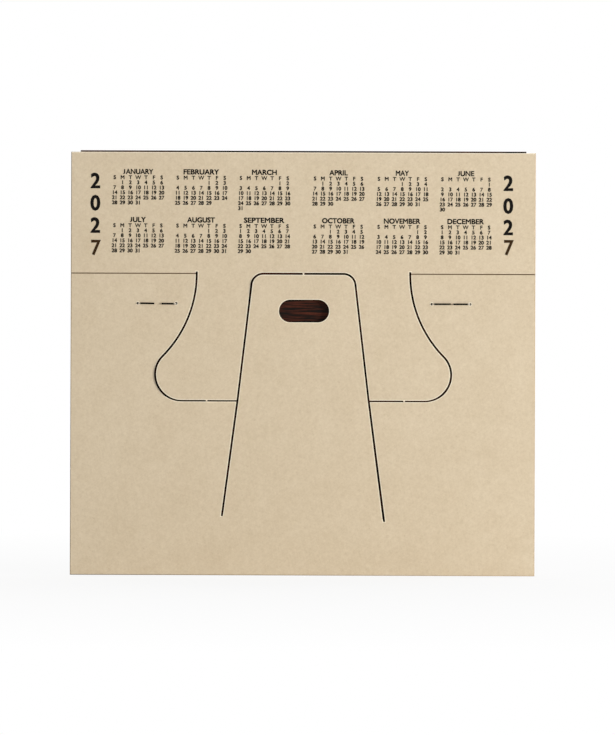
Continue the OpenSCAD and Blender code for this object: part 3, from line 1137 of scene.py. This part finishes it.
class CALENDAR_OT_staples(bpy.types.Operator):
    """Make the two staples, each a wire swept along its bent path"""

    bl_idname = "calendar.staples"
    bl_label = "Staples"

    tip_press = mm(0.06)
    # Where the painted glint on the bends is brightest, and how far it fades.
    rub_place = mm(0.6)
    rub_reach = mm(0.45)

    def execute(self, context):
        settings = context.scene.calendar
        staple = settings.staple
        wire = wire_tree()
        material = finishes(settings)["drawn_wire"]
        for side, clinch, tilt in (("left", staple.left_clinch, staple.left_tilt),
                                   ("right", staple.right_clinch, 0)):
            low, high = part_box("staple_" + side)
            thick = high.z - low.z
            left, right = low.x + thick / 2, high.x - thick / 2
            back, front = low.y + thick / 2, high.y - thick / 2
            height = (low.z + high.z) / 2
            tip = back + self.tip_press
            points = [(low.x + clinch + staple.skew, tip), (left, back), (left, front),
                      (right, front), (right, back), (high.x - clinch + staple.skew, tip)]
            path = bpy.data.meshes.new("staple_path")
            path.from_pydata([(x, y, height - tilt * (x - left) / (right - left)) for x, y in points],
                             [(place, place + 1) for place in range(len(points) - 1)], [])
            mesh = grown(wire, {"Diameter": thick, "Bend": staple.bend, "Wire": material}, path)
            self.rub_bends(smoothed(mesh, WIRE_SHARP), low, high, thick)
            made = piece("staple_wire_" + side, mesh)
            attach(made, "panel")
            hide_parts("staple_" + side)
        return {"FINISHED"}

    def rub_bends(self, mesh, low, high, thick):
        """Marks the outside of the wire's four bends for a pale painted glint, in place of the light
        that the bends reflect.
        """
        rubbed = mesh.attributes.new("rubbed", "FLOAT", "POINT")
        for vert, mark in zip(mesh.vertices, rubbed.data):
            inward = min(vert.co.x - low.x, high.x - vert.co.x)
            outside = min(vert.co.y - low.y, high.y - vert.co.y) < thick
            mark.value = max(0, 1 - abs(inward - self.rub_place) / self.rub_reach) if outside else 0


class CALENDAR_OT_year_table(bpy.types.Operator):
    """Print the year's twelve small tables and the stacked year on the header's back"""

    bl_idname = "calendar.year_table"
    bl_label = "Year table"

    # In millimetres: the tables' middles, the names' heights and widths, and the year's numbers.
    columns = (-49.7, -30.74, -11.78, 10.52, 29.72, 48.83)
    title_heights = (121.14, 106.71)
    title_widths = (9.1, 10.7, 7.5, 5.6, 4, 5, 4.8, 8.4, 12.2, 9.8, 11, 11)
    year_slips = (0, 0, 0, 0.25)
    years = {-62.55: (118.5, 111.85, 105.1, 98.45), 61.6: (118.1, 111.3, 104.8, 98.8)}

    def execute(self, context):
        settings = context.scene.calendar
        table = settings.table
        ink, faded = (finishes(settings)[name] for name in ("table_ink", "faded_ink"))
        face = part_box("header_panel")[0].y + GAP
        numbers = ink_words_tree(len(WEEKDAYS))
        words = ink_words_tree(1)
        drop = table.initials_drop + table.number_size * CAPITAL / 2
        blocks = []
        for month, name in enumerate(MONTHS):
            row, column = divmod(month, len(self.columns))
            x, z = mm(self.columns[column]), mm(self.title_heights[row])
            title = lettering(words, name, table.title_size, table.title_bold, table.depth, ink,
                              width=mm(self.title_widths[month]))
            days = month_days(numbers, month, table, ink, ink)
            blocks.append(set_down(title, BACK_PRINT, x, face, z))
            blocks.append(set_down(days, BACK_PRINT, x, face, z - drop))
        whole = joined(blocks)
        middle = Matrix.Translation((0, 0, mm(sum(self.title_heights) / 2)))
        whole.transform(middle @ Matrix.Rotation(table.tilt, 4, "Y") @ middle.inverted())
        months = piece("year_table", whole)
        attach(months, "header")
        digits = []
        for x, heights in self.years.items():
            for z, slip, digit, tone in zip(heights, self.year_slips, YEAR, (ink, ink, ink, faded)):
                figure = lettering(words, digit, table.year_size, table.year_bold, table.depth, tone,
                                   table.year_narrow)
                digits.append(set_down(figure, BACK_PRINT, mm(x + slip), face, mm(z)))
        year = piece("year_digits", joined(digits))
        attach(year, "header")
        return {"FINISHED"}


class CALENDAR_OT_stage(bpy.types.Operator):
    """Set up the floor, the background, the lamps and the camera"""

    bl_idname = "calendar.stage"
    bl_label = "Stage"

    # In millimetres: each lamp's place and size, the height that they look at, and the floor's radius.
    lamps = {"key": ((1400, -657, 150), 280), "front": ((0, 900, 800), 1400),
             "edge": ((1100, 700, 350), 500)}
    aim_height = 60
    floor_radius = 3000

    # In picture points.
    picture_height = 735

    def execute(self, context):
        stage = context.scene.calendar.stage
        self.floor(stage)
        self.sky(context.scene, stage)
        for name, (place, size) in self.lamps.items():
            spot = Vector([mm(part) for part in place])
            self.lamp(name + "_lamp", spot, mm(size), getattr(stage, name))
        self.camera(context.scene, stage)
        context.scene.view_settings.view_transform = "Standard"
        return {"FINISHED"}

    @staticmethod
    def seen(tree):
        """One for rays from the camera, in a reflection or through glass, and zero for light."""
        ray = tree.node("ShaderNodeLightPath")
        return ray["Is Camera Ray"] + ray["Is Glossy Ray"] + ray["Is Transmission Ray"]

    def floor(self, stage):
        """A pale floor that fades to white away from the calendar and keeps its shadow."""
        material, tree = finish("floor")
        spot = tree.node("ShaderNodeTexCoord", out="Object")
        far = tree.node("ShaderNodeVectorMath", {"operation": "LENGTH"}, {0: spot}, out="Value")
        fade = tree.ramp(far, [(0.05, 0.88), (0.3, 1)])
        paper = tree.node("ShaderNodeBsdfDiffuse", {}, {"Color": solid(stage.floor)})
        glow = tree.node("ShaderNodeEmission", {}, {"Color": WHITE, "Strength": 1})
        shader = tree.node("ShaderNodeMixShader", {},
                           {0: self.seen(tree) * fade, 1: paper, 2: glow})
        tree.node("ShaderNodeOutputMaterial", {}, {"Surface": shader})
        bm = bmesh.new()
        bmesh.ops.create_circle(bm, cap_ends=True, segments=64, radius=mm(self.floor_radius))
        placed("floor", mesh_of(bm, material))

    def sky(self, scene, stage):
        """White where it is seen, and a plain soft light otherwise."""
        scene.world = bpy.data.worlds.new("studio")
        scene.world.use_nodes = True
        tree = Tree(scene.world.node_tree)
        tree.group.nodes.clear()
        light, white = (tree.node("ShaderNodeBackground", {}, {"Color": WHITE, "Strength": strength})
                        for strength in (stage.sky, 1))
        both = tree.node("ShaderNodeMixShader", {}, {0: self.seen(tree), 1: light, 2: white})
        tree.node("ShaderNodeOutputWorld", {}, {"Surface": both})

    def lamp(self, name, spot, size, power):
        """A square soft lamp that looks at the calendar."""
        light = bpy.data.lights.new(name, "AREA")
        light.size = size
        light.energy = power
        lamp = placed(name, light)
        lamp.location = spot
        aim = Vector((0, 0, mm(self.aim_height)))
        lamp.rotation_euler = (aim - spot).to_track_quat("-Z", "Y").to_euler()

    def camera(self, scene, stage):
        """A long lens square on to the calendar's back."""
        lens = bpy.data.cameras.new("camera")
        lens.sensor_width = 36
        lens.lens = lens.sensor_width * stage.distance / (stage.pixel * self.picture_height)
        scene.camera = placed("camera", lens)
        face = BOARD_BOX[0].y
        scene.camera.location = (stage.centre_x, face - stage.distance, stage.centre_z)
        scene.camera.rotation_euler = (math.pi / 2, stage.roll, 0)


OPERATORS = (CALENDAR_OT_board, CALENDAR_OT_front_card, CALENDAR_OT_month_sheets,
             CALENDAR_OT_month_print, CALENDAR_OT_staples, CALENDAR_OT_year_table,
             CALENDAR_OT_stage)


class CALENDAR_PT_pieces(bpy.types.Panel):
    """The calendar's pieces, in the order in which they are made"""

    bl_idname = "CALENDAR_PT_pieces"
    bl_label = "Desk calendar"
    bl_space_type = "VIEW_3D"
    bl_region_type = "UI"
    bl_category = "Calendar"

    def draw(self, context):
        for operator in OPERATORS:
            self.layout.operator(operator.bl_idname)


CLASSES = (BoardSettings, CardSettings, PadSettings, PageSettings, TableSettings, StapleSettings,
           StageSettings, CalendarSettings, *OPERATORS, CALENDAR_PT_pieces)


def register():
    """Makes the settings, operators and panel known to Blender."""
    for kind in CLASSES:
        bpy.utils.register_class(kind)
    bpy.types.Scene.calendar = PointerProperty(type=CalendarSettings)


def unregister():
    """Takes them out again."""
    del bpy.types.Scene.calendar
    for kind in reversed(CLASSES):
        bpy.utils.unregister_class(kind)


def main():
    """Makes the whole calendar."""
    register()
    for operator in OPERATORS:
        group, name = operator.bl_idname.split(".")
        getattr(getattr(bpy.ops, group), name)()


if __name__ == "__main__":
    main()
